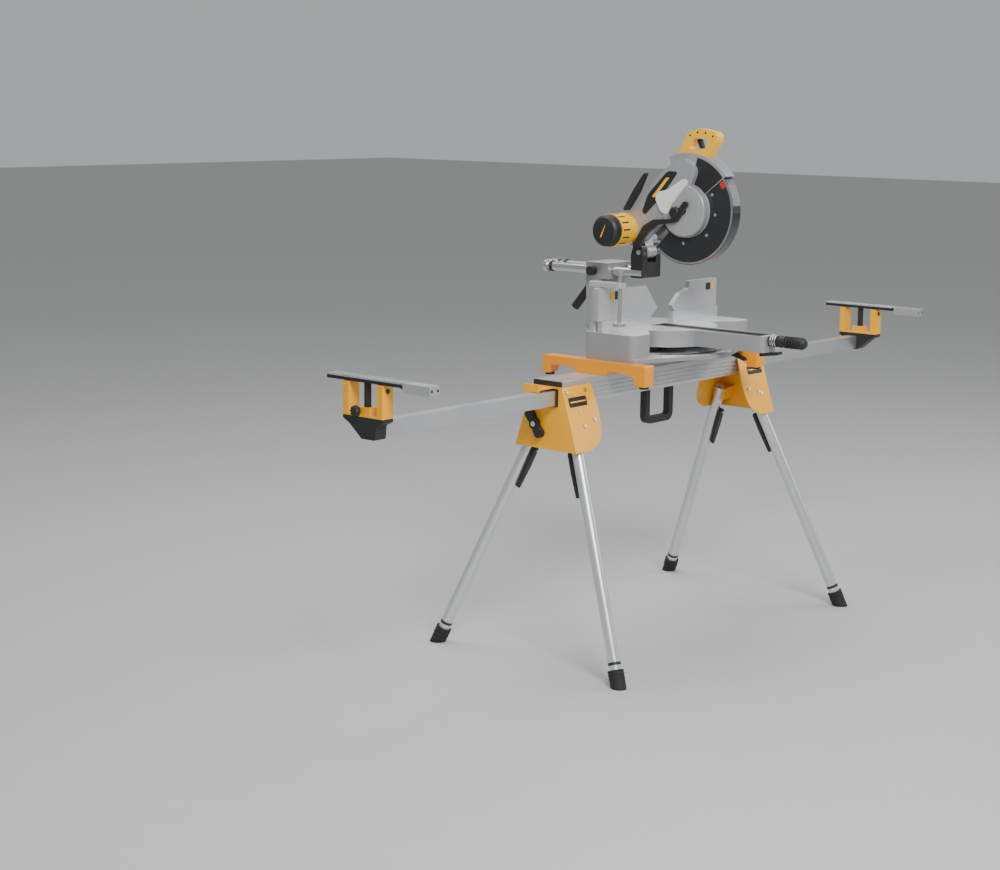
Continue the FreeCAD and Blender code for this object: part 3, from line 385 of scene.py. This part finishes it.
# ---------------------------------------------------------------- table and fences
front = front_frame(-0.0002)
for title, corners, body, mat in (
    ("left fence label", (-0.236, 0.092, -0.206, 0.116), "fence_left", BLACK),
    ("left fence mark", (-0.258, 0.092, -0.24, 0.116), "fence_left", MOULDED),
    ("right fence label", (0.226, 0.088, 0.25, 0.11), "fence_right", BLACK),
    ("right fence mark", (0.254, 0.088, 0.268, 0.11), "fence_right", MOULDED),
):
    plate(title, rounded_box(*corners, 0.002), 0.0008, front, body, mat, 0.0002)

TICK_HALF = 0.0005
TICK_INNER = 0.178
scale_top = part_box("mitre_scale")[1].z
for i in range(-25, 26):
    outer = 0.196 if i % 5 == 0 else 0.188
    turn = Matrix.Rotation(math.radians(i * 2), 4, "Z")
    tick = Matrix.Translation((SAW.x, SAW.y, scale_top)) @ turn
    line = [(-TICK_HALF, -outer), (TICK_HALF, -outer), (TICK_HALF, -TICK_INNER),
            (-TICK_HALF, -TICK_INNER)]
    plate(f"scale tick {i}", line, 0.0003, tick, "saw_base", BLACK, 0.0)

GRIP_Y = -0.385
GRIP_Z = -0.014
FORWARD = (0, -1, 0)
for k, start in enumerate((0.0045, 0.012, 0.0195)):
    spot = SAW + Vector((0, GRIP_Y - 0.002 - start, GRIP_Z))
    turned(f"grip ring {k}", [(0, 0.0172), (0.0004, 0.0178), (0.0036, 0.0178), (0.004, 0.0172)],
           facing(FORWARD, spot), "mitre_grip", ZINC)
for k in range(7):
    spot = SAW + Vector((0, GRIP_Y - 0.052 - k * 0.009, GRIP_Z))
    turned(f"grip groove {k}", [(0, 0.0168), (0.0008, 0.0176), (0.0034, 0.0176), (0.0042, 0.0168)],
           facing(FORWARD, spot), "mitre_grip", RUBBER)

# ---------------------------------------------------------------- slide
RAIL_X = 0.035
RAIL_Z = 0.152
BACKWARD = (0, 1, 0)
for side in (-1, 1):
    spot = SAW + Vector((side * RAIL_X, 0.392, RAIL_Z))
    turned(f"rail stop ring {side}", [(0, 0.0155), (0.001, 0.017), (0.009, 0.017), (0.01, 0.0155)],
           facing(BACKWARD, spot), "slide_carriage", BLACK)
    spot = SAW + Vector((side * RAIL_X, 0.4242, RAIL_Z))
    turned(f"rail plug {side}", [(0, 0.0125), (0.001, 0.012), (0.0018, 0.006), (0.0018, 0.0005)],
           facing(BACKWARD, spot), "slide_carriage", BLACK)

# ---------------------------------------------------------------- stand
# The head's front sheet leans out 57 mm over its 182 mm of height.
LEAN = math.atan(57 / 182)
SHEET_TOP = Vector((0.452, -0.055, 0.797))
PLATE_DROP = 0.046
FOOT = Vector((0.588, 0.338, 0))
LEG_RUN = Vector((0.187, 0.4065, -1))
SUPPORT_X = 1.2245
POST_Y = 0.0702
LOCK_FACE = 0.5252
BOOT_RIB = [(0, 0.0222), (0.0008, 0.0232), (0.004, 0.0232), (0.005, 0.0222)]
BAR_RIB = [(-0.0165, -0.128), (-0.0125, -0.128), (-0.0125, 0.128), (-0.0165, 0.128)]
normal = Vector((0, -math.cos(LEAN), math.sin(LEAN)))
for side, label in ((-1, "left"), (1, "right")):
    spot = Vector((side * SHEET_TOP.x, SHEET_TOP.y - PLATE_DROP * math.sin(LEAN),
                   SHEET_TOP.z - PLATE_DROP * math.cos(LEAN))) + normal * 0.0002
    plate("head plate " + label, rounded_box(-0.04, -0.014, 0.04, 0.014, 0.004), 0.001,
          facing(normal, spot), "stand", BLACK, 0.0003)
    plate("head plate stripe " + label, rounded_box(-0.034, -0.002, 0.034, 0.002, 0.001), 0.0006,
          facing(normal, spot + normal * 0.001), "stand", MOULDED, 0.0001)
    for word, y in (("front", -1), ("rear", 1)):
        leg = f"leg_{word}_{label}"
        run = Vector((side * LEG_RUN.x, y * LEG_RUN.y, LEG_RUN.z)).normalized()
        foot = Vector((side * FOOT.x, y * FOOT.y, FOOT.z))
        for k in range(3):
            rib_spot = foot - run * 0.05 + run * (0.01 * k)
            turned(f"boot rib {leg} {k}", BOOT_RIB, facing(run, rib_spot), leg, RUBBER)
        turned("collar " + leg, [(0, 0.0173), (0.0006, 0.0181), (0.008, 0.0181), (0.0086, 0.0173)],
               facing(run, foot - run * 0.072), leg, BLACK)
    knob = "support_knob_" + label
    spot = joint_point("support_knob_turn_" + label)
    out = Vector((side, 0, 0))
    shape = turned("lobed knob " + label, [(0.0005, 0.006), (0.001, 0.0125), (0.004, 0.0148),
                   (0.013, 0.0148), (0.016, 0.012), (0.0165, 0.004), (0.0166, 0.0006)],
                   facing(out, spot), knob, BLACK, steps=96, lobes=8, depth=0.13)
    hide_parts(knob)
    middle = side * SUPPORT_X
    for y, name in ((-1, "front"), (1, "rear")):
        turned(f"post bolt {label} {name}", [(0, 0.0062), (0.003, 0.006), (0.0036, 0.004),
               (0.0037, 0.0006)], facing((0, y, 0), Vector((middle, y * POST_Y, 0.868))),
               "arm_" + label, BLACK, steps=24)
    for x in (-0.011, 0.011):
        turned(f"stop dot {label} {x}", [(0, 0.004), (0.0005, 0.0038), (0.0008, 0.001)],
               facing(FORWARD, Vector((middle + x, -0.2308, 0.886))), "stop_plate_" + label, BLACK,
               steps=20)
    bar_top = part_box("support_bar_" + label)[1][2]
    for k in range(4):
        shift = Matrix.Translation((middle + k * 0.0097, 0, bar_top))
        plate(f"bar rib {label} {k}", BAR_RIB, 0.0006, shift, "support_bar_" + label, SILVER,
              0.0002)
    spot = joint_point("arm_lock_turn_" + label)
    turned("lock hub " + label, [(0, 0.0085), (0.0015, 0.0085), (0.003, 0.006), (0.0032, 0.0006)],
           facing(out, Vector((side * LOCK_FACE, spot.y, spot.z))), "arm_lock_" + label, ZINC,
           steps=6)


# ---------------------------------------------------------------- setting
def plane(name, points, mat):
    mesh = bpy.data.meshes.new(name)
    mesh.from_pydata(points, [], [(0, 1, 2, 3)])
    obj = bpy.data.objects.new(name, mesh)
    bpy.context.scene.collection.objects.link(obj)
    mesh.materials.append(mat)
    return obj


PAPER = shader("studio floor", (0.5, 0.5, 0.49), 0.6, grain=40, bump=0.02, mottle=0.015)
REACH = 30
floor = plane("floor", [(-REACH, -REACH, 0), (REACH, -REACH, 0), (REACH, REACH, 0),
                        (-REACH, REACH, 0)], PAPER)

world = bpy.data.worlds.new("soft studio")
bpy.context.scene.world = world
world.use_nodes = True
sky = world.node_tree.nodes["Background"]
sky.inputs["Color"].default_value = (0.86, 0.88, 0.9, 1)
sky.inputs["Strength"].default_value = 0.5


def lamp(name, place, target, size, power):
    data = bpy.data.lights.new(name, "AREA")
    data.shape = "RECTANGLE"
    data.size = size
    data.size_y = size * 0.7
    data.energy = power
    obj = bpy.data.objects.new(name, data)
    bpy.context.scene.collection.objects.link(obj)
    obj.location = place
    look = Vector(target) - Vector(place)
    obj.rotation_euler = look.to_track_quat("-Z", "Y").to_euler()


lamp("key", (-2.6, -3.4, 4.2), (0, 0, 0.8), 2.2, 300)
lamp("fill", (3.6, -2.4, 2.6), (0, 0, 0.8), 3.0, 60)
lamp("top", (0.3, 1.2, 4.4), (0, 0, 0.9), 3.2, 110)

# The camera stands at the viewer's place, with a little roll.
EYE = Vector((-4.622, -3.354, 1.608))
LENS = 68.4
yaw = math.radians(40.59)
pitch = math.radians(-10.19)
roll = math.radians(0.64)
ahead = Vector((math.cos(pitch) * math.cos(yaw), math.cos(pitch) * math.sin(yaw),
                math.sin(pitch)))
right = Vector((math.sin(yaw), -math.cos(yaw), 0))
above = right.cross(ahead)
tilted_right = right * math.cos(roll) + above * math.sin(roll)
tilted_up = above * math.cos(roll) - right * math.sin(roll)
camera_data = bpy.data.cameras.new("camera")
camera_data.sensor_fit = "HORIZONTAL"
camera_data.sensor_width = 36
camera_data.lens = LENS
camera = bpy.data.objects.new("camera", camera_data)
bpy.context.scene.collection.objects.link(camera)
turn = Matrix((tilted_right, tilted_up, -ahead)).transposed().to_4x4()
camera.matrix_world = Matrix.Translation(EYE) @ turn
bpy.context.scene.camera = camera
